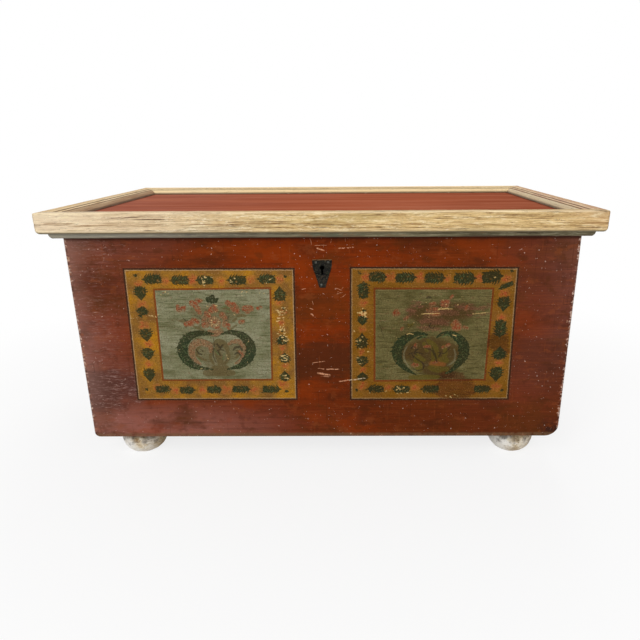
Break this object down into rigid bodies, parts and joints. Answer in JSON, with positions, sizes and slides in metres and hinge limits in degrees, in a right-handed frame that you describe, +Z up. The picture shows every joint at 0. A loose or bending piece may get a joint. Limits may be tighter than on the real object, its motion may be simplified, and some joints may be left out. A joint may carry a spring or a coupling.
{
  "type": "storage chest",
  "caption": "Painted board chest on turned bun feet, with a framed hinged lid, a lip moulding, iron strap hinges, a till and a chest lock behind a shield escutcheon.",
  "frame": {"origin": "on the floor, under the middle of the chest's whole box", "axes": "+X to the right seen from the front, +Y from the front to the back, +Z up"},
  "size_m": [1.224, 0.6495, 0.6283],
  "materials": {
    "red_painted_wood": "worn red paint, bare softwood inside",
    "lid_panel_paint": "faded red paint, bare softwood underneath",
    "limewashed_wood": "pale worn wood with limewash in the grain",
    "grey_green_paint": "worn grey-green paint",
    "foot_wood": "turned wood with worn whitish paint",
    "bottom_wood": "bare aged softwood, painted on its front edge",
    "bare_wood": "bare aged softwood",
    "black_iron": "blackened forged iron",
    "lock_iron": "dark forged iron with a little rust",
    "nail_iron": "dark forged iron"
  },
  "bodies": {
    "chest": {"front_board_lower": "red_painted_wood", "front_board_upper": "red_painted_wood", "back_board_lower": "red_painted_wood", "back_board_upper": "red_painted_wood", "left_board_lower": "red_painted_wood", "left_board_upper": "red_painted_wood", "right_board_lower": "red_painted_wood", "right_board_upper": "red_painted_wood", "bottom_board_front": "bottom_wood", "bottom_board_middle": "bottom_wood", "bottom_board_back": "bottom_wood", "bottom_nails": "nail_iron", "foot_front_left": "foot_wood", "foot_front_right": "foot_wood", "foot_back_left": "foot_wood", "foot_back_right": "foot_wood", "escutcheon": "black_iron", "escutcheon_nails": "nail_iron", "lock_case": "lock_iron", "lock_case_nails": "nail_iron", "bolt_guides": "lock_iron", "bolt_spring": "lock_iron", "key_pin": "lock_iron", "key_ward": "lock_iron", "till_side": "bare_wood", "till_bottom": "bare_wood", "hinge_leaf_left": "lock_iron", "hinge_leaf_right": "lock_iron", "hinge_leaf_nails": "nail_iron", "hinge_pin_left": "lock_iron", "hinge_pin_right": "lock_iron"},
    "lid": {"lid_board_front": "lid_panel_paint", "lid_board_back": "lid_panel_paint", "lid_rail_front": "limewashed_wood", "lid_rail_back": "limewashed_wood", "lid_rail_left": "limewashed_wood", "lid_rail_right": "limewashed_wood", "lip_moulding_front": "grey_green_paint", "lip_moulding_left": "grey_green_paint", "lip_moulding_right": "grey_green_paint", "lip_nails": "nail_iron", "hinge_strap_left": "lock_iron", "hinge_strap_right": "lock_iron", "hinge_strap_nails": "nail_iron", "lid_staple": "lock_iron", "lid_staple_nails": "nail_iron"},
    "lock_bolt": {"lock_bolt": "lock_iron"}
  },
  "joints": [
    {"name": "lid_hinge", "type": "hinge", "parent": "chest", "child": "lid", "pos_m": [0, 0.31825, 0.5878], "axis": [-1, 0, 0], "range_deg": [0, 100]},
    {"name": "bolt_slide", "type": "slide", "parent": "chest", "child": "lock_bolt", "axis": [1, 0, 0], "range_m": [0, 0.018]}
  ]
}
